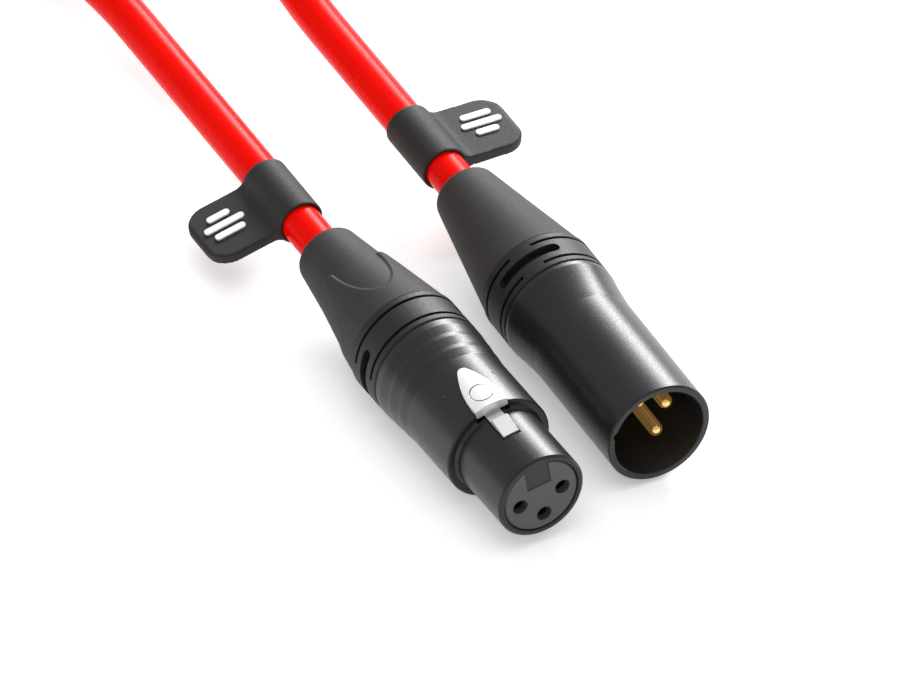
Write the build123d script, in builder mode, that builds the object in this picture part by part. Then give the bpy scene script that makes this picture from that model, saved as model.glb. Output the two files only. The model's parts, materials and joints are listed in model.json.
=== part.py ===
"""A red microphone cable with a female and a male three-pin connector, a name tag at each end, and the
rest of the cable put away in a tied hank. The connectors lie on the table with their noses towards -Y.
The origin is on the table, under the middle of the two connectors."""

import os
from math import cos, pi, radians, sin, tan

from build123d import *

os.makedirs("parts", exist_ok=True)

# ---------------------------------------------------------------- driving dimensions, mm
cable_radius = 3.42
cable_length = 3000
collar_radius = 10.15  # the widest round of a connector, which it lies on
running_gap = 0.05

nose_radius = 7.93  # female nose, fits in the male mouth
mouth_radius = 8.1
bore_radius = 7.4  # inside of both shells, behind the insert
front_bore_radius = 6.85
spigot_radius = 8.3  # threaded rear end of a shell
spigot_length = 5.2

female_shoulder = 14.1  # behind the face
female_seam = 37.35
male_seam = 35.5
bushing_length = 8
boot_length = 26.5

pin_radius = 1.18
contact_spread = 3.97  # sockets and pins, from the middle line
contact_drop = 0.3
third_contact_drop = 4.05

hinge_behind = 22.0
hinge_height = 7.75
hinge_radius = 0.6

tag_sleeve_radius = 4.05
tag_length = 13.3
tag_reach = 16.1
tag_thickness = 1.9
tag_corner = 4

# ---------------------------------------------------------------- where the connectors lie
axis_height = collar_radius


def connector_plane(face_x, face_y, yaw, roll):
    """A connector's own plane: origin at the middle of its face, z out of the face, y to its key."""
    forward = Vector(sin(radians(yaw)), -cos(radians(yaw)), 0)
    right = Vector(cos(radians(yaw)), sin(radians(yaw)), 0)
    key_right = right * cos(radians(roll)) + Vector(0, 0, sin(radians(roll)))
    return Plane(origin=(face_x, face_y, axis_height), x_dir=key_right, z_dir=forward)


def lengthwise(connector, clock=0):
    """The plane through the axis at an angle from the key: x backward along the axis, y outward."""
    outward = connector.y_dir * cos(radians(clock)) + connector.x_dir * sin(radians(clock))
    backward = -connector.z_dir
    return Plane(origin=connector.origin, x_dir=backward, z_dir=backward.cross(outward))


def above(connector, height):
    """The plane across the key direction: x to the key's right, y backward along the axis."""
    return Plane(
        origin=connector.origin + connector.y_dir * height, x_dir=connector.x_dir, z_dir=connector.y_dir
    )


def axis_of(connector):
    """The connector's axis, pointing backward."""
    return Axis(connector.origin, -connector.z_dir)


def behind(connector, distance):
    """The point on the axis at a distance behind the face."""
    return connector.origin - connector.z_dir * distance


female = connector_plane(face_x=-12.04, face_y=-37.387, yaw=1.45, roll=8.4)
male = connector_plane(face_x=12.48, face_y=-32.287, yaw=-0.95, roll=114.6)
female_rear = female_seam + bushing_length + boot_length
male_rear = male_seam + bushing_length + boot_length
contact_places = [
    (-contact_spread, -contact_drop),
    (contact_spread, -contact_drop),
    (0, -third_contact_drop),
]


def save(part, name):
    part.label = name
    export_step(part, f"parts/{name}.step")


def turned(connector, *outline):
    """Inside a part: turn a closed outline of (distance behind the face, radius) points round the axis."""
    with BuildSketch(lengthwise(connector)) as profile:
        with BuildLine():
            Polyline(*outline, close=True)
        make_face()
    revolve(profile.sketch, axis=axis_of(connector))


def ring(connector, start, end, inner, outer, mode=Mode.ADD):
    """Inside a part: a plain ring or, with inner 0, a rod along the axis."""
    with BuildSketch(connector.offset(-end)) as section:
        Circle(outer)
        if inner > 0:
            Circle(inner, mode=Mode.SUBTRACT)
    extrude(section.sketch, amount=end - start, mode=mode)


# ---------------------------------------------------------------- female connector
land_rise = 0.2
first_cone = 13.6  # behind the shoulder
cone_length = 2
land_length = 0.98
latch_width = 5.9
latch_length = 10.2
latch_gap = 0.15
hook_width = 2.8
hook_front = 8.0
nose_pocket_floor = 5.5
key_width = 4.4
key_floor = 2.15


def latch_outline(height, grow):
    """The pointed arch of the thumb pad, at a height above the axis."""
    half = latch_width / 2 + grow
    front = female_shoulder - 2 * grow
    tip = female_shoulder + latch_length + grow
    shoulder_place = female_shoulder + 5.2
    shoulder_half = half * 0.86
    tip_half = half * 0.3
    with BuildSketch(above(female, height)) as outline:
        with BuildLine():
            Line((-half, front), (half, front))
            ThreePointArc((half, front), (shoulder_half, shoulder_place), (tip_half, tip - 0.55))
            ThreePointArc((tip_half, tip - 0.55), (0, tip), (-tip_half, tip - 0.55))
            ThreePointArc((-tip_half, tip - 0.55), (-shoulder_half, shoulder_place), (-half, front))
        make_face()
    return outline.sketch


def hinge_plane():
    """The plane square to the latch's hinge, with its origin on the hinge."""
    hinge = behind(female, hinge_behind) + female.y_dir * hinge_height
    return Plane(hinge, z_dir=female.x_dir)


def make_female_shell():
    body_radius = collar_radius - 3 * land_rise - 0.02
    outline = [
        (0.3, front_bore_radius),
        (0, front_bore_radius + 0.15),
        (0, nose_radius - 0.35),
        (0.35, nose_radius),
        (female_shoulder - 0.5, nose_radius),
        (female_shoulder, nose_radius + 0.4),
        (female_shoulder, body_radius - 0.25),
        (female_shoulder + 0.25, body_radius),
    ]
    station = female_shoulder + first_cone
    for step in range(3):
        radius = body_radius + step * land_rise
        outline += [(station, radius), (station + cone_length, radius + land_rise)]
        station += cone_length + land_length
    outline += [
        (female_seam - 0.3, collar_radius - 0.02),
        (female_seam, collar_radius - 0.3),
        (female_seam, spigot_radius),
        (female_seam + spigot_length, spigot_radius),
        (female_seam + spigot_length, bore_radius),
        (20.5, bore_radius),
        (20.5, front_bore_radius),
    ]
    with BuildPart() as shell:
        turned(female, *outline)
        with BuildSketch(above(female, key_floor + 0.1)):  # the key that fills the insert's keyway
            with Locations((0, 7.2)):
                Rectangle(key_width - 0.16, 14)
        extrude(amount=front_bore_radius - key_floor)
        with BuildSketch(above(female, nose_pocket_floor)):  # under the hook
            with Locations((0, (hook_front + female_shoulder) / 2)):
                Rectangle(hook_width + 0.5, female_shoulder - hook_front + 0.7)
        extrude(amount=6, mode=Mode.SUBTRACT)
        extrude(latch_outline(nose_pocket_floor, latch_gap), amount=6, mode=Mode.SUBTRACT)
        with BuildSketch(hinge_plane()):
            Circle(hinge_radius)
        extrude(amount=4.6, both=True, mode=Mode.SUBTRACT)
    save(shell.part, "female_shell")


def make_female_insert():
    with BuildPart() as insert:
        turned(
            female, (0.15, 0), (0.15, front_bore_radius - 0.3), (0.4, front_bore_radius - 0.05),
            (20, front_bore_radius - 0.05), (20, 0),
        )
        with BuildSketch(above(female, key_floor)):
            with Locations((0, 7.9)):
                Rectangle(key_width, 16)
        extrude(amount=6, mode=Mode.SUBTRACT)
        with BuildSketch(female):
            with Locations(*contact_places):
                Circle(1.35)
        extrude(amount=-1.4, mode=Mode.SUBTRACT)
        with BuildSketch(female.offset(-1.4)):
            with Locations(*contact_places):
                Circle(1.65)
        extrude(amount=-20, mode=Mode.SUBTRACT)
    save(insert.part, "female_insert")


def make_female_contacts():
    for number, place in enumerate(contact_places, start=1):
        with BuildPart() as contact:
            with BuildSketch(female.offset(-1.45)):
                with Locations(place):
                    Circle(1.64)
            extrude(amount=-13.5)
            with BuildSketch(female.offset(-14.95)):
                with Locations(place):
                    Circle(1.35)
            extrude(amount=-9.5)
            with BuildSketch(female.offset(-1.45)):
                with Locations(place):
                    Circle(pin_radius + 0.03)
            extrude(amount=-12.5, mode=Mode.SUBTRACT)
            with BuildSketch(female.offset(-24.45)):
                with Locations(place):
                    Circle(0.9)
            extrude(amount=3.2, mode=Mode.SUBTRACT)
        save(contact.part, f"female_contact_{number}")


def make_latch():
    front = female_shoulder
    with BuildPart() as latch:
        extrude(latch_outline(8.3, 0), amount=2)
        with BuildSketch(lengthwise(female)):  # tongue and wedge-shaped hook
            with BuildLine():
                Polyline(
                    (front + 0.5, 7.2), (front + 0.5, 8.6), (front, 8.05), (12.2, 8.1), (11.65, 9.0),
                    (hook_front, 8.1), (hook_front, 7.2), close=True,
                )
            make_face()
        extrude(amount=hook_width / 2, both=True)
        with BuildSketch(lengthwise(female)):  # web down to the hinge pin
            with BuildLine():
                Polyline(
                    (front + 0.5, 7.8), (front + 0.5, 8.4), (22.9, 8.4), (22.9, 7.15), (20.8, 7.15),
                    close=True,
                )
            make_face()
        extrude(amount=hook_width / 2, both=True)
        with BuildSketch(female.offset(-9)):  # rounded off with the collar
            Circle(collar_radius)
        extrude(amount=18, both=True, mode=Mode.INTERSECT)
        with BuildSketch(above(female, collar_radius - 0.3)):
            with Locations((0, 17.4)):
                Circle(2.05)
                Circle(1.85, mode=Mode.SUBTRACT)
        extrude(amount=1, mode=Mode.SUBTRACT)
        with BuildSketch(hinge_plane()):
            Circle(hinge_radius + 0.04)
        extrude(amount=4, both=True, mode=Mode.SUBTRACT)
    save(latch.part, "female_latch")


def make_latch_pin():
    with BuildPart() as pin:
        with BuildSketch(hinge_plane()):
            Circle(hinge_radius)
        extrude(amount=4.5, both=True)
    save(pin.part, "female_latch_pin")


def make_latch_spring():
    with BuildPart() as spring:
        with BuildSketch(lengthwise(female)):
            with BuildLine():
                Polyline(
                    (20.4, 6.86), (20.4, 7.06), (16.6, 7.06), (15.0, 7.55), (15.0, 7.4), (16.6, 6.86),
                    close=True,
                )
            make_face()
        extrude(amount=1, both=True)
    save(spring.part, "female_latch_spring")


# ---------------------------------------------------------------- male connector
male_neck = 26.5
male_taper_length = 7.9
male_insert_face = 17.5
pin_tip = 4.05
pin_root_radius = 1.35  # inside the insert
pin_end = 30.55
solder_cup_radius = 0.9


def make_male_shell():
    tube_radius = 9.34
    taper_end = male_neck + male_taper_length
    with BuildPart() as shell:
        with BuildSketch(lengthwise(male)):
            with BuildLine():
                Polyline(
                    (male_neck, tube_radius), (0.25, tube_radius), (0, tube_radius - 0.25),
                    (0, mouth_radius + 0.15), (0.15, mouth_radius), (19.5, mouth_radius), (19.5, bore_radius),
                    (male_seam + spigot_length, bore_radius), (male_seam + spigot_length, spigot_radius),
                    (male_seam, spigot_radius), (male_seam, collar_radius - 0.3),
                    (male_seam - 0.3, collar_radius - 0.02), (taper_end, collar_radius - 0.02),
                )
                ThreePointArc(
                    (taper_end, collar_radius - 0.02), (male_neck + 4.2, tube_radius + 0.3),
                    (male_neck, tube_radius),
                )
            make_face()
        revolve(axis=axis_of(male))
        key_groove = male.y_dir * cos(radians(39.7)) + male.x_dir * sin(radians(39.7))
        with BuildSketch(Plane(male.origin + key_groove * (mouth_radius - 0.3), z_dir=male.z_dir)):
            Circle(0.9)
        extrude(amount=-9, mode=Mode.SUBTRACT)
        with BuildSketch(above(male, mouth_radius - 0.6)):  # the catch for the latch
            with Locations((0, 10.2)):
                Rectangle(3.4, 4)
        extrude(amount=1.1, mode=Mode.SUBTRACT)
    save(shell.part, "male_shell")


def make_male_insert():
    with BuildPart() as insert:
        ring(male, male_insert_face, 19.5, 0, mouth_radius - 0.03)
        ring(male, 19.5, 29, 0, bore_radius - 0.03)
        with BuildSketch(male.offset(-male_insert_face)):
            with Locations(*contact_places):
                Circle(pin_root_radius)
        extrude(amount=-12, mode=Mode.SUBTRACT)
    save(insert.part, "male_insert")


def make_male_pins():
    for number, place in enumerate(contact_places, start=1):
        with BuildPart() as pin:
            with BuildSketch(male.offset(-pin_tip)):
                with Locations(place):
                    Circle(pin_radius)
            extrude(amount=pin_tip - male_insert_face)
            fillet(pin.edges().group_by(Axis(male.origin, male.z_dir))[-1], pin_radius - 0.1)
            with BuildSketch(male.offset(-male_insert_face)):
                with Locations(place):
                    Circle(pin_root_radius)
            extrude(amount=male_insert_face - pin_end)
            with BuildSketch(male.offset(-pin_end)):
                with Locations(place):
                    Circle(solder_cup_radius)
            extrude(amount=2.5, mode=Mode.SUBTRACT)
        save(pin.part, f"male_pin_{number}")


# ---------------------------------------------------------------- what both connectors share
slot_rows = (1.5, 6.45)  # behind the seam
slot_width = 0.6
slot_turn = 157
window_place = 4.05
window_width = 1.9
window_turn = 71
slot_floor = 8.6


def cut_round_slot(connector, distance, width, middle, turn):
    """Inside a part: cut a slot with round ends part of the way round, its middle at a clock angle."""
    straight = turn - 2 * width / 2 / collar_radius * 180 / pi
    start = middle - straight / 2
    with BuildSketch(lengthwise(connector, start)) as section:
        with Locations((distance, (slot_floor + collar_radius + 1) / 2)):
            Rectangle(width, collar_radius + 1 - slot_floor)
    revolve(section.sketch, axis=axis_of(connector), revolution_arc=straight, mode=Mode.SUBTRACT)
    for clock in (start, start + straight):
        outward = lengthwise(connector, clock).y_dir
        with BuildSketch(Plane(behind(connector, distance) + outward * slot_floor, z_dir=outward)) as end:
            Circle(width / 2)
        extrude(end.sketch, amount=2, mode=Mode.SUBTRACT)


def make_bushing(connector, seam, name):
    inner = spigot_radius + running_gap
    end = seam + bushing_length
    with BuildPart() as bushing:
        turned(
            connector, (seam, inner), (seam, collar_radius - 0.25), (seam + 0.25, collar_radius),
            (end - 0.2, collar_radius), (end, collar_radius - 0.2), (end, inner),
        )
        for side in (90, 270):
            for row in slot_rows:
                cut_round_slot(connector, seam + row, slot_width, side + 90, slot_turn)
            cut_round_slot(connector, seam + window_place, window_width, side, window_turn)
    save(bushing.part, name)


skirt_length = 16  # of the scalloped boot's raised front
skirt_slope = 0.156
tail_slope = 0.145
bite_place = 15.2
bite_length = 10.6
bite_width = 4.4


def make_boot(connector, seam, name, scalloped):
    start = seam + bushing_length
    end = start + boot_length
    inner = start - 2.6
    rear_radius = 5.4
    front_radius = collar_radius - 0.15
    with BuildPart() as boot:
        if scalloped:
            tail_front = rear_radius + tail_slope * boot_length
            skirt_end = start + skirt_length
            skirt_radius = front_radius - skirt_slope * skirt_length
            turned(connector, (start, 4), (start, front_radius), (skirt_end, skirt_radius), (skirt_end, 4))
            for clock in (0, 90, 180, 270):
                outward = lengthwise(connector, clock).y_dir
                middle = behind(connector, start + bite_place) + outward * 3
                with BuildSketch(Plane(middle, x_dir=connector.z_dir, z_dir=outward)):
                    Ellipse(bite_length, bite_width)
                extrude(amount=10, mode=Mode.SUBTRACT)
        else:
            tail_front = front_radius
        turned(
            connector, (start, 3), (start, tail_front), (end - 0.8, rear_radius + 0.1),
            (end - 0.2, rear_radius - 0.35), (end, rear_radius - 0.9), (end, 3),
        )
        ring(connector, inner, start, 3, spigot_radius - 0.02)
        ring(connector, inner, end, 0, cable_radius + running_gap, mode=Mode.SUBTRACT)
    save(boot.part, name)


def make_chuck(connector, seam, name):
    start = seam - 3.4
    end = seam + spigot_length
    grip = cable_radius + 0.02
    with BuildPart() as chuck:
        turned(
            connector, (start, grip), (start, bore_radius - 0.6), (start + 0.6, bore_radius - 0.03),
            (end, bore_radius - 0.03), (end, grip),
        )
        for clock in (0, 90):
            with BuildSketch(lengthwise(connector, clock)):
                with Locations((start + 2.5, 0)):
                    Rectangle(5, 2 * bore_radius + 1)
            extrude(amount=0.45, both=True, mode=Mode.SUBTRACT)
    save(chuck.part, name)


def make_wires(connector, start, end, name):
    """The three cores from the solder cups to the end of the jacket."""
    with BuildPart() as wires:
        for x, y in contact_places:
            cup = behind(connector, start) + connector.x_dir * x + connector.y_dir * y
            jacket = behind(connector, end) + connector.x_dir * x * 0.42 + connector.y_dir * (y * 0.42 + 0.6)
            with BuildSketch(Plane(cup, z_dir=jacket - cup)):
                Circle(0.7)
            extrude(amount=(jacket - cup).length)
    save(wires.part, name)


def make_cable_end(connector, start, end, name):
    """The jacketed cable inside the connector, up to the rear of the boot."""
    with BuildPart() as cable_end:
        ring(connector, start, end, 0, cable_radius)
    save(cable_end.part, name)


# ---------------------------------------------------------------- the free cable and its hank
bend_share = 0.45  # of the shorter run, taken by a bend
tie_thickness = 1.2
tie_width = 16
layer_height = 2 * cable_radius + 0.06
inner_turn_radius = 6 * cable_radius
outer_turn_radius = inner_turn_radius + layer_height
outer_turns = 5
inner_turns = 4
hank_near = 180  # where the hank's round near end has its middle
bottom_layer = tie_thickness + 0.1 + cable_radius
top_layer = bottom_layer + (outer_turns - 1) * layer_height
overlap = 10  # a run goes this far into the hank
female_corner = hank_near - 56  # where each straight cable turns towards the hank
male_corner = hank_near - 72


def bend_radii(points):
    """The radius of each corner of a route: a share of the shorter run beside it."""
    radii = []
    for before, corner, after in zip(points, points[1:], points[2:]):
        a = Vector(*corner) - Vector(*before)
        b = Vector(*after) - Vector(*corner)
        half_turn = radians(a.get_angle(b)) / 2
        radii.append(bend_share * min(a.length, b.length) / tan(half_turn))
    return radii


def make_cable_run(points, name):
    radii = bend_radii(points)
    print(name, "bend radii", [round(radius, 1) for radius in radii])
    with BuildPart() as run:
        with BuildLine() as route:
            FilletPolyline(*points, radius=radii)
        with BuildSketch(Plane(points[0], z_dir=Vector(*points[1]) - Vector(*points[0]))):
            Circle(cable_radius)
        sweep(path=route.wires()[0])
    save(run.part, name)
    return route.wires()[0].length


def make_hank(straight):
    """The closed outer shape of the put-away turns, two abreast in layers."""
    middle = hank_near + straight / 2
    with BuildPart() as hank:
        for turn_radius, turns in ((outer_turn_radius, outer_turns), (inner_turn_radius, inner_turns)):
            with BuildSketch(Plane.XY.offset(bottom_layer - cable_radius)):
                with Locations((0, middle)):
                    SlotCenterToCenter(straight, 2 * (turn_radius + layer_height / 2), rotation=90)
                    SlotCenterToCenter(
                        straight, 2 * (turn_radius - layer_height / 2), rotation=90, mode=Mode.SUBTRACT
                    )
            extrude(amount=(turns - 1) * layer_height + 2 * cable_radius)
    save(hank.part, "cable_hank")


def make_tie(straight):
    """A band round the bundle on the hank's left side."""
    inside = inner_turn_radius - cable_radius - 0.1
    outside = outer_turn_radius + cable_radius + 0.1
    low = bottom_layer - cable_radius - 0.1
    high = top_layer + cable_radius + 0.1
    with BuildPart() as tie:
        with BuildSketch(Plane.XZ.offset(-(hank_near + straight / 2) - tie_width / 2)):
            with Locations((-(inside + outside) / 2, (low + high) / 2)):
                Rectangle(outside - inside + 2 * tie_thickness, high - low + 2 * tie_thickness)
                Rectangle(outside - inside, high - low, mode=Mode.SUBTRACT)
        extrude(amount=tie_width)
    save(tie.part, "hank_tie")


# ---------------------------------------------------------------- name tags
def tag_plane(x, y, side, lean):
    """A tag's own plane: x out along the flag, which leans down by an angle, z up off the flag."""
    out = Vector(side * cos(radians(lean)), 0, -sin(radians(lean)))
    up = Vector(side * sin(radians(lean)), 0, cos(radians(lean)))
    return Plane(origin=(x, y, axis_height), x_dir=out, z_dir=up)


def make_tag(plane, name):
    flag_start = cable_radius + running_gap
    with BuildPart() as tag:
        with BuildSketch(plane.offset(-tag_thickness / 2)):
            with Locations(((flag_start + tag_reach) / 2, 0)):
                RectangleRounded(tag_reach - flag_start, tag_length, tag_corner)
            with Locations(((flag_start + 8) / 2, 0)):
                Rectangle(8 - flag_start, tag_length)
        extrude(amount=tag_thickness)
        with BuildSketch(Plane.XZ.offset(-plane.origin.Y - tag_length / 2)):
            with Locations((plane.origin.X, axis_height)):
                Circle(tag_sleeve_radius)
        extrude(amount=tag_length)
        with BuildSketch(Plane.XZ.offset(-plane.origin.Y - tag_length / 2)):
            with Locations((plane.origin.X, axis_height)):
                Circle(cable_radius + running_gap)
        extrude(amount=tag_length, mode=Mode.SUBTRACT)
    save(tag.part, name)


mark_out = 10.6
mark_back = 0.6
bar_pitch = 2.2
bar_width = 1.3


def make_tag_mark(plane, name):
    """A raised generic mark on the flag: three level bars."""
    behind_middle = mark_back * plane.y_dir.Y
    with BuildPart() as mark:
        with BuildSketch(plane.offset(tag_thickness / 2)):
            for row, bar_length in ((-1, 4.2), (0, 7.4), (1, 5.6)):
                with Locations((mark_out, row * bar_pitch + behind_middle)):
                    RectangleRounded(bar_length, bar_width, 0.6)
        extrude(amount=0.3)
    save(mark.part, name)


# ---------------------------------------------------------------- make everything
make_female_shell()
make_female_insert()
make_female_contacts()
make_latch()
make_latch_pin()
make_latch_spring()
make_male_shell()
make_male_insert()
make_male_pins()
make_bushing(female, female_seam, "female_bushing")
make_bushing(male, male_seam, "male_bushing")
make_boot(female, female_seam, "female_boot", scalloped=True)
make_boot(male, male_seam, "male_boot", scalloped=False)
make_chuck(female, female_seam, "female_chuck")
make_chuck(male, male_seam, "male_chuck")
make_wires(female, 24.45, 30.7, "female_wires")
make_wires(male, 30.55, 33.6, "male_wires")
make_cable_end(female, 31, female_rear, "female_cable_end")
make_cable_end(male, 34, male_rear, "male_cable_end")

female_exit = behind(female, female_rear)
male_exit = behind(male, male_rear)
female_route = [
    (female_exit.X, female_exit.Y, female_exit.Z),
    (female_exit.X, female_corner, axis_height),
    (-outer_turn_radius, hank_near - 14, bottom_layer),
    (-outer_turn_radius, hank_near + overlap, bottom_layer),
]
male_route = [
    (male_exit.X, male_exit.Y, male_exit.Z),
    (male_exit.X, male_corner, axis_height),
    (male_exit.X + 0.5, hank_near - 34, top_layer),
    (outer_turn_radius, hank_near + 6, top_layer),
    (outer_turn_radius, hank_near + 6 + 2 * overlap, top_layer),
]
female_run_length = make_cable_run(female_route, "cable_female_run")
male_run_length = make_cable_run(male_route, "cable_male_run")
turns = outer_turns + inner_turns
far_ends = pi * (outer_turns * outer_turn_radius + inner_turns * inner_turn_radius)
near_ends = pi * (turns - 1) * (outer_turn_radius + inner_turn_radius) / 2
wound = cable_length - female_run_length - male_run_length + 3 * overlap + 6
hank_straight = (wound - far_ends - near_ends) / (2 * turns)
print("hank straight", round(hank_straight, 2), "exits", female_exit, male_exit)
make_hank(hank_straight)
make_tie(hank_straight)

female_tag_plane = tag_plane(female_exit.X, 49.7, side=-1, lean=12.5)
male_tag_plane = tag_plane(male_exit.X, 51.05, side=1, lean=2)
make_tag(female_tag_plane, "female_tag")
make_tag(male_tag_plane, "male_tag")
make_tag_mark(female_tag_plane, "female_tag_mark")
make_tag_mark(male_tag_plane, "male_tag_mark")
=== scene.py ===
"""The looks of a red microphone cable: two three-pin connectors, two name tags and a tied hank.
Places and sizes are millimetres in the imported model's frame, with the noses towards -Y, and mm turns
them into metres. The sizes inside materials and lights are metres already."""

import json
from math import atan2, cos, degrees, hypot, pi, radians, sin

import bmesh
import bpy
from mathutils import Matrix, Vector


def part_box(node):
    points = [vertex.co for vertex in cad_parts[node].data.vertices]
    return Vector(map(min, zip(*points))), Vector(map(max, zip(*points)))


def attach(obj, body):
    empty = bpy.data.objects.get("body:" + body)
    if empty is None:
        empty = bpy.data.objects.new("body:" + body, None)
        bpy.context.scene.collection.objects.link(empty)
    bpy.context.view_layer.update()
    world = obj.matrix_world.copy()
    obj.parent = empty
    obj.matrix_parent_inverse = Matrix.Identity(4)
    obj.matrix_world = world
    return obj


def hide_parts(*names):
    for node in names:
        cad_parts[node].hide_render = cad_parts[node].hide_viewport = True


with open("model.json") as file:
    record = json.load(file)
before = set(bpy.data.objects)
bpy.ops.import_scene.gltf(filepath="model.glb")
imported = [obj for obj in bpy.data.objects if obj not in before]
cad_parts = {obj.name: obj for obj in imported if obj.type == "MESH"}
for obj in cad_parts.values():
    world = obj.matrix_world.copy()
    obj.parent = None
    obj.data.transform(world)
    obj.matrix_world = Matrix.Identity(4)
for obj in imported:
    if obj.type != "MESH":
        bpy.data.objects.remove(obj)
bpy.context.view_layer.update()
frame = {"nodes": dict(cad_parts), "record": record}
nodes = frame["nodes"]
mm = 0.001

# ---------------------------------------------------------------- camera
view_azimuth = radians(-28)
view_elevation = radians(39.5)
looked_at = Vector((-17.51, -15.89, 30.1)) * mm
seen_width = 146.6 * mm
lens = 1200
sensor = 36
nearest_seen = 0.5
farthest_seen = 40


def make_camera():
    back = Vector((
        sin(view_azimuth) * cos(view_elevation),
        -cos(view_azimuth) * cos(view_elevation),
        sin(view_elevation),
    ))
    data = bpy.data.cameras.new("camera")
    data.lens = lens
    data.sensor_width = sensor
    data.clip_start = nearest_seen
    data.clip_end = farthest_seen
    camera = bpy.data.objects.new("camera", data)
    camera.location = looked_at + back * (seen_width * lens / sensor)
    camera.rotation_euler = back.to_track_quat("Z", "Y").to_euler()
    bpy.context.scene.collection.objects.link(camera)
    bpy.context.scene.camera = camera


# ---------------------------------------------------------------- the cord
cable_radius = 3.42
axis_height = 10.15
female_exit = (-13.8581, 34.44)
male_exit = (13.6406, 37.7034)
hank_near = 180
hank_straight = 78.52
inner_turn_radius = 20.52
outer_turn_radius = 27.42
layer_height = 6.9
bottom_layer = 4.72
top_layer = 32.32
columns = ("outer", "inner", "inner", "outer", "outer", "inner", "inner", "outer", "outer")
layers = (0, 0, 1, 1, 2, 2, 3, 3, 4)
far_corners = 8  # corners in a half turn at the hank's far end
near_corners = 10
crossing = 0.3  # the share of a near half turn in which a turn passes to the next place
last_crossing_start = 0.4
crossing_delay = 0.043  # by which each lower turn starts to cross later
female_lead = (  # corners on the way into the hank
    (female_exit[0], 79.5, axis_height),
    (female_exit[0], 124, axis_height),
    (-outer_turn_radius, 166, bottom_layer),
)
male_lead = (  # corners on the way out of it
    (outer_turn_radius, 186, top_layer),
    (14.1406, 146, top_layer),
    (male_exit[0], 108, axis_height),
    (male_exit[0], 64, axis_height),
)


def turn_place(turn):
    radius = outer_turn_radius if columns[turn] == "outer" else inner_turn_radius
    return radius, bottom_layer + layers[turn] * layer_height


def far_half_turn(radius, height):
    """From the left side round the far end to the right side."""
    reach = radius / cos(pi / far_corners / 2)
    for corner in range(far_corners):
        angle = pi - pi * (corner + 0.5) / far_corners
        yield reach * cos(angle), hank_near + hank_straight + reach * sin(angle), height


def near_half_turn(turn):
    """From the right side round the near end to the left side, into the next turn's place. The
    higher turns cross over first, so that each has left its place before the next one comes."""
    radius, height = turn_place(turn)
    next_radius, next_height = turn_place(turn + 1)
    start = last_crossing_start + crossing_delay * (len(columns) - 2 - turn)
    for corner in range(near_corners):
        share = (corner + 0.5) / near_corners
        passed = min(max((share - start) / crossing, 0), 1)
        reach = (radius + (next_radius - radius) * passed) / cos(pi / near_corners / 2)
        yield (
            reach * cos(pi * share),
            hank_near - reach * sin(pi * share),
            height + (next_height - height) * passed,
        )


def cord_points():
    """The route: out of the female boot, round the hank from its lowest turn to its highest, and
    back to the male boot."""
    points = [(*female_exit, axis_height), *female_lead]
    for turn in range(len(columns)):
        points += far_half_turn(*turn_place(turn))
        if turn + 1 < len(columns):
            points += near_half_turn(turn)
    return [*points, *male_lead, (*male_exit, axis_height)]


def make_cord(material):
    data = bpy.data.curves.new("cable", "CURVE")
    data.dimensions = "3D"
    data.bevel_depth = 1  # each point's radius gives the cable's
    data.bevel_resolution = 12
    data.resolution_u = 12
    data.use_fill_caps = True
    spline = data.splines.new("NURBS")
    points = cord_points()
    spline.points.add(len(points) - 1)
    for point, place in zip(spline.points, points):
        point.co = (*(Vector(place) * mm), 1)
        point.radius = cable_radius * mm
    spline.order_u = 3
    spline.use_endpoint_u = True
    data.materials.append(material)
    cable = bpy.data.objects.new("cable_curve", data)
    bpy.context.scene.collection.objects.link(cable)
    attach(cable, "cable")
    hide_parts("cable_female_run", "cable_hank", "cable_male_run")


# ---------------------------------------------------------------- materials
class Nodes:
    """A material's node tree, with short ways to add to it."""

    def __init__(self, name):
        self.material = bpy.data.materials.new(name)
        self.material.use_nodes = True
        self.tree = self.material.node_tree
        self.shader = self.tree.nodes["Principled BSDF"]
        self.place = self.tree.nodes.new("ShaderNodeTexCoord").outputs["Object"]

    def link(self, output, node, socket):
        self.tree.links.new(output, node.inputs[socket])

    def noise(self, scale, detail=2):
        noise = self.tree.nodes.new("ShaderNodeTexNoise")
        noise.inputs["Scale"].default_value = scale
        noise.inputs["Detail"].default_value = detail
        self.link(self.place, noise, "Vector")
        return noise.outputs["Fac"]

    def ramp(self, factor, low, high, start=0.3, end=0.7):
        """A factor turned into a colour between two, or into a value between two numbers."""
        ramp = self.tree.nodes.new("ShaderNodeValToRGB")
        for element, place, colour in zip(ramp.color_ramp.elements, (start, end), (low, high)):
            element.position = place
            element.color = (*colour, 1) if isinstance(colour, tuple) else (*[colour] * 3, 1)
        self.link(factor, ramp, "Fac")
        return ramp.outputs["Color"]

    def bump(self, height, strength, distance, under=None):
        bump = self.tree.nodes.new("ShaderNodeBump")
        bump.inputs["Strength"].default_value = strength
        bump.inputs["Distance"].default_value = distance
        self.link(height, bump, "Height")
        if under:
            self.link(under, bump, "Normal")
        return bump.outputs["Normal"]

    def rounded_edges(self, radius):
        edges = self.tree.nodes.new("ShaderNodeBevel")
        edges.samples = 4
        edges.inputs["Radius"].default_value = radius
        return edges.outputs["Normal"]

    def set(self, **values):
        for name, value in values.items():
            self.shader.inputs[name.replace("_", " ")].default_value = value

    def use(self, socket, output):
        self.link(output, self.shader, socket)


mottle_scale = 90
mottle_detail = 4
grain_strength = 0.6


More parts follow.
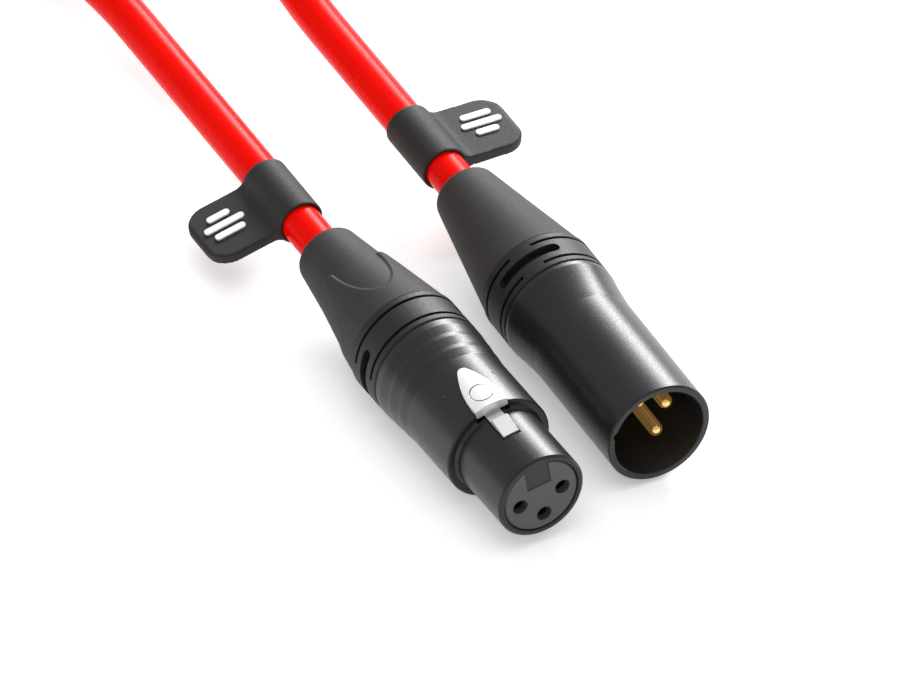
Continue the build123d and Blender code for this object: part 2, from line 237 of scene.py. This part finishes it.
def grained(name, dark, light, roughness, grain_size, grain_depth, spread=0.06, edge=0.0, **more):
    """A moulded or painted surface: slight mottling, fine grain in the bump and the roughness."""
    nodes = Nodes(name)
    nodes.use("Base Color", nodes.ramp(nodes.noise(mottle_scale, mottle_detail), dark, light))
    grain = nodes.noise(1 / grain_size)
    nodes.use("Roughness", nodes.ramp(grain, roughness - spread, roughness + spread))
    edges = nodes.rounded_edges(edge) if edge else None
    nodes.use("Normal", nodes.bump(grain, grain_strength, grain_depth, edges))
    nodes.set(**more)
    return nodes.material


def latch_metal():
    """Satin plating with painted shade: ambient occlusion darkens its base colour in the hollow under
    the pad.
    """
    nodes = Nodes("bright_metal")
    grain = nodes.noise(2500)
    # painted shade: the base colour goes dark where ambient occlusion within 2.5 mm finds the hollow
    # under the pad
    painted_hollow_shade = nodes.tree.nodes.new("ShaderNodeAmbientOcclusion")
    painted_hollow_shade.samples = 8
    painted_hollow_shade.inputs["Distance"].default_value = 0.0025
    nodes.use("Base Color", nodes.ramp(painted_hollow_shade.outputs["AO"], 0.16, 0.86, start=0.35, end=0.8))
    nodes.use("Roughness", nodes.ramp(grain, 0.36, 0.40))
    nodes.use("Normal", nodes.bump(grain, 0.3, 0.000002, nodes.rounded_edges(0.00007)))
    nodes.set(Metallic=0.55, Specular_IOR_Level=0.4)
    return nodes.material


def grey(value):
    return (value, value, value * 1.01)


gold_look = {
    "dark": (0.80, 0.50, 0.17), "light": (0.92, 0.62, 0.26), "roughness": 0.2, "spread": 0.04,
    "grain_size": 0.0005, "grain_depth": 0.000004, "Metallic": 1.0,
}
looks = {
    "black_metal": {
        "dark": grey(0.013), "light": grey(0.018), "roughness": 0.31, "edge": 0.00014,
        "grain_size": 0.0002, "grain_depth": 0.000012, "Specular_IOR_Level": 0.32,
    },
    "grey_plastic": {
        "dark": grey(0.050), "light": grey(0.058), "roughness": 0.5, "edge": 0.00014,
        "grain_size": 0.0004, "grain_depth": 0.000008,
    },
    "black_plastic": {
        "dark": grey(0.006), "light": grey(0.009), "roughness": 0.45, "edge": 0.00014,
        "grain_size": 0.0004, "grain_depth": 0.00001,
    },
    "collar_plastic": {
        "dark": grey(0.012), "light": grey(0.016), "roughness": 0.5, "edge": 0.00014,
        "grain_size": 0.0003, "grain_depth": 0.00001, "Specular_IOR_Level": 0.28,
    },
    "boot_rubber": {
        "dark": grey(0.022), "light": grey(0.027), "roughness": 0.65,
        "grain_size": 0.0003, "grain_depth": 0.000015, "Specular_IOR_Level": 0.28,
    },
    "tag_rubber": {
        "dark": (0.017, 0.0165, 0.016), "light": (0.022, 0.0215, 0.021), "roughness": 0.62,
        "grain_size": 0.0003, "grain_depth": 0.00001, "Specular_IOR_Level": 0.28,
    },
    "mark_white": {
        "dark": grey(0.80), "light": grey(0.86), "roughness": 0.5, "edge": 0.00012,
        "grain_size": 0.0003, "grain_depth": 0.00001,
    },
    "gold": gold_look,
    # the male pins' gold with a faint orange emission: a painted glow that makes them brighter than
    # the lamps light them
    "pin_gold_painted_glow": {
        **gold_look, "Emission_Color": (0.8, 0.45, 0.12, 1), "Emission_Strength": 0.16,
    },
    "steel": {
        "dark": grey(0.45), "light": grey(0.55), "roughness": 0.3,
        "grain_size": 0.0005, "grain_depth": 0.000004, "Metallic": 1.0,
    },
    "core_insulation": {
        "dark": (0.6, 0.6, 0.58), "light": (0.7, 0.7, 0.68), "roughness": 0.45,
        "grain_size": 0.0005, "grain_depth": 0.00001,
    },
    "red_jacket": {
        "dark": (0.78, 0.002, 0.0), "light": (0.83, 0.003, 0.0), "roughness": 0.27, "spread": 0.02,
        "grain_size": 0.0012, "grain_depth": 0.000004, "Specular_IOR_Level": 0.05,
    },
    "tie_fabric": {
        "dark": grey(0.012), "light": grey(0.022), "roughness": 0.85,
        "grain_size": 0.0005, "grain_depth": 0.00012,
    },
}


def make_materials():
    made = {name: grained(name, **look) for name, look in looks.items()}
    made["bright_metal"] = latch_metal()
    return made


def paint(obj, material):
    obj.data.materials.clear()
    obj.data.materials.append(material)


def slot_of_nodes():
    """Each CAD node's material slot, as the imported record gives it."""
    return {part["node"]: part["material_slot"] for part in frame["record"]["subparts"]}


# ---------------------------------------------------------------- mesh pieces
def finished(name, mesh, material, body, node):
    """Make the object of a finished mesh, which rides on a body and stands for a CAD node."""
    for polygon in mesh.polygons:
        polygon.use_smooth = True
    mesh.materials.clear()
    mesh.materials.append(material)
    piece = bpy.data.objects.new(name, mesh)
    bpy.context.scene.collection.objects.link(piece)
    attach(piece, body)
    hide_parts(node)


def ringed_mesh(name, places, capped):
    """A closed mesh through rings of places: capped at both ends, or with the last ring joined to
    the first."""
    shape = bmesh.new()
    rings = [[shape.verts.new(place * mm) for place in ring] for ring in places]
    count = len(rings[0])
    following = rings[1:] if capped else rings[1:] + rings[:1]
    for ring, next_ring in zip(rings, following):
        for i in range(count):
            j = (i + 1) % count
            shape.faces.new((ring[i], ring[j], next_ring[j], next_ring[i]))
    if capped:
        shape.faces.new(rings[0])
        shape.faces.new(rings[-1])
    bmesh.ops.recalc_face_normals(shape, faces=shape.faces)
    mesh = bpy.data.meshes.new(name)
    shape.to_mesh(mesh)
    shape.free()
    return mesh


def prism(outline, start, end, place):
    """A solid object: an outline of (a, b) points run from start to end, put in place."""
    rings = [[place(a, b, depth) for a, b in outline] for depth in (start, end)]
    made = bpy.data.objects.new("prism", ringed_mesh("prism", rings, capped=True))
    bpy.context.scene.collection.objects.link(made)
    return made


def arc(x, y, radius, first, last, steps):
    """Points of an arc between two angles in degrees."""
    angles = [radians(first + (last - first) * i / steps) for i in range(steps + 1)]
    return [(x + radius * cos(a), y + radius * sin(a)) for a in angles]


boot_length = 26.5
boot_bore = 3.46
boot_rows = 130
boot_columns = 360
front_radius = 10.0
rear_radius = 5.4
rear_round = 1.1
skirt_slope = 0.156
skirt_length = 16
tail_slope = 0.145
scallop_place = 15.2  # behind the boot's start
scallop_half_length = 10.3
scallop_half_width = 4.3
scallop_front = 4.65
scallop_front_depth = 0.2
scallop_deepening = 0.0335  # with every mm behind its front
edge_width = 0.3  # over which the surface rises to the skirt
edge_blend = 0.8  # rounds the skirt's corners off
connectors = {
    "female": {"face": (-12.04, -37.387), "yaw": 1.45, "roll": 8.4, "boot_start": 45.35},
    "male": {"face": (12.48, -32.287), "yaw": -0.95, "roll": 114.6, "boot_start": 43.5},
}


def connector_directions(yaw, roll):
    """A connector's directions back along its axis, towards its key and to the key's right."""
    forward = Vector((sin(radians(yaw)), -cos(radians(yaw)), 0))
    level = Vector((cos(radians(yaw)), sin(radians(yaw)), 0))
    right = level * cos(radians(roll)) + Vector((0, 0, sin(radians(roll))))
    return -forward, forward.cross(right), right


def skirt_share(place, clock, radius):
    """How far the female boot's surface has risen to its skirt: 0 in a scallop or behind the skirt,
    1 on the skirt. The place is the distance behind the boot's start."""
    across = radius * sin((clock + pi / 4) % (pi / 2) - pi / 4)
    along = place - scallop_place
    size = hypot(across / scallop_half_width, along / scallop_half_length)
    slope = hypot(across / scallop_half_width**2, along / scallop_half_length**2) / max(size, 0.01)
    from_scallop = (size - 1) / max(slope, 0.01)
    from_end = skirt_length - place
    nearness = max(edge_blend - abs(from_end - from_scallop), 0) / edge_blend
    inside = min(from_end, from_scallop) - nearness**2 * edge_blend / 4
    share = min(max(inside / edge_width, 0), 1)
    return share * share * (3 - 2 * share)


def female_boot_radius(place, clock):
    if place > skirt_length:
        return rear_radius + tail_slope * (boot_length - place)
    depth = scallop_front_depth + scallop_deepening * (place - scallop_front)
    skirt = front_radius - skirt_slope * place
    return skirt - depth * (1 - skirt_share(place, clock, skirt))


def male_boot_radius(place, clock):
    return front_radius + (rear_radius - front_radius) * place / boot_length


def make_boot(end, surface, material):
    """A turned boot whose outer radius may change round it, with a rounded rear edge."""
    connector = connectors[end]
    face = Vector((*connector["face"], axis_height))
    back, key, right = connector_directions(connector["yaw"], connector["roll"])

    def ring(place, radius_at):
        centre = face + back * (connector["boot_start"] + place)
        clocks = [2 * pi * column / boot_columns for column in range(boot_columns)]
        return [
            centre + (key * cos(clock) + right * sin(clock)) * radius_at(clock) for clock in clocks
        ]

    rings = []
    for row in range(boot_rows + 1):
        place = boot_length * row / boot_rows
        rounding = max(1 - (boot_length - place) / rear_round, 0)
        trim = rear_round * (1 - (1 - rounding**2) ** 0.5)
        rings.append(ring(place, lambda clock: surface(place, clock) - trim))
    rings += [ring(place, lambda clock: boot_bore) for place in (boot_length, 0)]
    mesh = ringed_mesh(f"{end}_boot_soft", rings, capped=False)
    finished(mesh.name, mesh, material, "cable", f"{end}_boot")


tag_sleeve_radius = 4.05
tag_bore = 3.5
tag_length = 13.3
tag_reach = 16.1
tag_half_thickness = 0.95
tag_corner = 4.4
tag_blend = 2.5  # the hollow between the sleeve and the flag
tag_grid = 0.2
beyond_tag = 9
tags = {
    "female": {"centre": (female_exit[0], 49.7, axis_height), "side": -1, "lean": 12.5},
    "male": {"centre": (male_exit[0], 51.05, axis_height), "side": 1, "lean": 2},
}


def tag_section():
    """The outline across a tag, out along the flag and up from it."""
    high = tag_half_thickness + tag_blend
    across = ((tag_sleeve_radius + tag_blend) ** 2 - high**2) ** 0.5
    tilt = degrees(atan2(high, across))
    nose = tag_reach - tag_half_thickness
    return (
        arc(0, 0, tag_sleeve_radius, tilt, 360 - tilt, 72)
        + arc(across, -high, tag_blend, 180 - tilt, 90, 12)
        + arc(nose, 0, tag_half_thickness, -90, 90, 12)
        + arc(across, high, tag_blend, 270, 180 + tilt, 12)
    )


def make_tag(end, material):
    """A soft tag: a sleeve on the cable, hollowed into a flat flag with round corners."""
    side, lean = tags[end]["side"], radians(tags[end]["lean"])
    out = Vector((side * cos(lean), 0, -sin(lean)))
    up = Vector((side * sin(lean), 0, cos(lean)))
    back = Vector((0, 1, 0))
    centre = Vector(tags[end]["centre"])
    half = tag_length / 2

    def across(a, b, depth):
        return centre + out * a + up * b + back * depth

    def from_above(a, b, depth):
        return centre + out * a + back * b + up * depth

    corner_place, corner_half = tag_reach - tag_corner, half - tag_corner
    plan = (
        [(-beyond_tag, -half), (corner_place, -half)]
        + arc(corner_place, -corner_half, tag_corner, -90, 0, 14)
        + arc(corner_place, corner_half, tag_corner, 0, 90, 14)
        + [(-beyond_tag, half)]
    )
    tag = prism(tag_section(), -half - 1, half + 1, across)
    tools = [
        prism(plan, -beyond_tag, beyond_tag, from_above),
        prism(arc(0, 0, tag_bore, 0, 355, 71), -beyond_tag, beyond_tag, across),
    ]
    for tool, operation in zip(tools, ("INTERSECT", "DIFFERENCE")):
        shaping = tag.modifiers.new(operation, "BOOLEAN")
        shaping.operation = operation
        shaping.solver = "EXACT"
        shaping.object = tool
    even = tag.modifiers.new("even", "REMESH")
    even.mode = "VOXEL"
    even.voxel_size = tag_grid * mm
    soften = tag.modifiers.new("soften", "SMOOTH")
    soften.factor = 0.5
    soften.iterations = 6
    mesh = bpy.data.meshes.new_from_object(tag.evaluated_get(bpy.context.evaluated_depsgraph_get()))
    for used in (tag, *tools):
        bpy.data.objects.remove(used)
    mesh.name = f"{end}_tag_soft"
    finished(mesh.name, mesh, material, f"{end}_tag_body", f"{end}_tag")


tie_thickness = 1.2
tie_width = 16
tie_bend = 4  # its radius round the bundle's corners
tie_overlap = 20
tie_lift = 1.15  # of the end that lies on the first turn
tie_rise = 5  # the length over which it lifts
tie_tip = 4  # the length of the rounded end
tie_tip_share = 0.55  # of the full width, at the very end
tie_steps = 150
tie_section = (  # across the strap and out from its middle, in half widths and half thicknesses
    (-1, 0), (-0.985, 0.7), (-0.95, 0.95), (-0.7, 1), (-0.35, 1), (0, 1), (0.35, 1), (0.7, 1),
    (0.95, 0.95), (0.985, 0.7), (1, 0), (0.985, -0.7), (0.95, -0.95), (0.5, -1), (0, -1),
    (-0.5, -1), (-0.95, -0.95), (-0.985, -0.7),
)


def around(distance, sides):
    """The point and outward direction at a distance along a rounded rectangle, from the foot of its
    left side upwards."""
    left, right, low, high = sides
    up_run, across_run = high - low - 2 * tie_bend, right - left - 2 * tie_bend
    bend_run = pi * tie_bend / 2
    distance %= 2 * (up_run + across_run) + 4 * bend_run
    corners = (
        (left + tie_bend, high - tie_bend), (right - tie_bend, high - tie_bend),
        (right - tie_bend, low + tie_bend), (left + tie_bend, low + tie_bend),
    )
    heading = pi / 2
    start = Vector((left, low + tie_bend))
    for run, corner in zip((up_run, across_run, up_run, across_run), corners):
        along, outward = direction(heading), direction(heading + pi / 2)
        if distance <= run:
            return start + along * distance, outward
        distance -= run
        if distance <= bend_run:
            outward = direction(heading + pi / 2 - distance / tie_bend)
            return Vector(corner) + outward * tie_bend, outward
        distance -= bend_run
        heading -= pi / 2
        start = Vector(corner) + direction(heading + pi / 2) * tie_bend
    return start, outward


def direction(angle):
    return Vector((cos(angle), sin(angle)))


def make_tie(material):
    """A hook-and-loop strap once round the bundle and over its own start."""
    low_corner, high_corner = (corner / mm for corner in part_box("hank_tie"))
    half = tie_thickness / 2
    sides = (low_corner.x + half, high_corner.x - half, low_corner.z + half, high_corner.z - half)
    middle = (low_corner.y + high_corner.y) / 2
    left, right, low, high = sides
    once_round = 2 * (right - left + high - low - 4 * tie_bend) + 2 * pi * tie_bend
    length = once_round + tie_overlap
    rings = []
    for step in range(tie_steps + 1):
        distance = length * step / tie_steps
        point, outward = around(distance, sides)
        lift = min(max((distance - once_round + tie_rise) / tie_rise, 0), 1) * tie_lift
        from_end = min(max(length - distance, 0) / tie_tip, 1)
        tip_share = tie_tip_share + (1 - tie_tip_share) * (1 - (1 - from_end) ** 2) ** 0.5
        ring = []
        for across, out in tie_section:
            place = point + outward * (lift + out * half)
            ring.append(Vector((place.x, middle + across * tip_share * tie_width / 2, place.y)))
        rings.append(ring)
    mesh = ringed_mesh("hank_strap", rings, capped=True)
    finished("hank_strap", mesh, material, "cable", "hank_tie")


# ---------------------------------------------------------------- floor and light
floor_half = 6
world_strength = 0.62
soft_boxes = {
    "side_strip": {
        "from_direction": (0.6, 0.68, 0.42), "distance": 1.2, "size": (0.8, 0.3), "power": 20,
        "mirrored": True,
    },
    "overhead": {
        "from_direction": (-0.1, -0.2, 1), "distance": 1.6, "size": (1.4, 1.4), "power": 9,
        "mirrored": False,
    },
}


def make_floor():
    mesh = bpy.data.meshes.new("floor")
    half = floor_half
    mesh.from_pydata(
        [(-half, -half, 0), (half, -half, 0), (half, half, 0), (-half, half, 0)], [], [(0, 1, 2, 3)]
    )
    floor = bpy.data.objects.new("floor", mesh)
    bpy.context.scene.collection.objects.link(floor)
    floor_nodes = Nodes("floor_paper")
    floor_nodes.use("Base Color", floor_nodes.ramp(floor_nodes.noise(400), 0.86, 0.88))
    floor_nodes.set(
        Roughness=0.9, Specular_IOR_Level=0.1, Emission_Color=(1, 1, 1, 1), Emission_Strength=0.36
    )
    paint(floor, floor_nodes.material)


def make_soft_box(name, from_direction, distance, size, power, mirrored):
    """A soft box that faces the object from a direction, and may stay out of the reflections."""
    toward = Vector(from_direction).normalized()
    data = bpy.data.lights.new(name, "AREA")
    data.shape = "RECTANGLE"
    data.size, data.size_y = size
    data.energy = power
    light = bpy.data.objects.new(name, data)
    light.location = toward * distance
    light.rotation_euler = toward.to_track_quat("Z", "Y").to_euler()
    light.visible_glossy = mirrored
    bpy.context.scene.collection.objects.link(light)


def make_lights():
    world = bpy.data.worlds.new("studio")
    world.use_nodes = True
    background = world.node_tree.nodes["Background"]
    background.inputs["Color"].default_value = (1, 1, 1, 1)
    background.inputs["Strength"].default_value = world_strength
    bpy.context.scene.world = world
    for name, settings in soft_boxes.items():
        make_soft_box(name, **settings)
    bpy.context.scene.view_settings.view_transform = "Standard"


make_camera()
materials = make_materials()
for name, slot in slot_of_nodes().items():
    # the male pins take the gold with the painted glow, the other parts their record's slot
    paint(nodes[name], materials["pin_gold_painted_glow" if name.startswith("male_pin") else slot])
make_boot("female", female_boot_radius, materials["boot_rubber"])
make_boot("male", male_boot_radius, materials["boot_rubber"])
make_tag("female", materials["tag_rubber"])
make_tag("male", materials["tag_rubber"])
make_tie(materials["tie_fabric"])
make_cord(
    materials["red_jacket"],
)
make_floor()
make_lights()
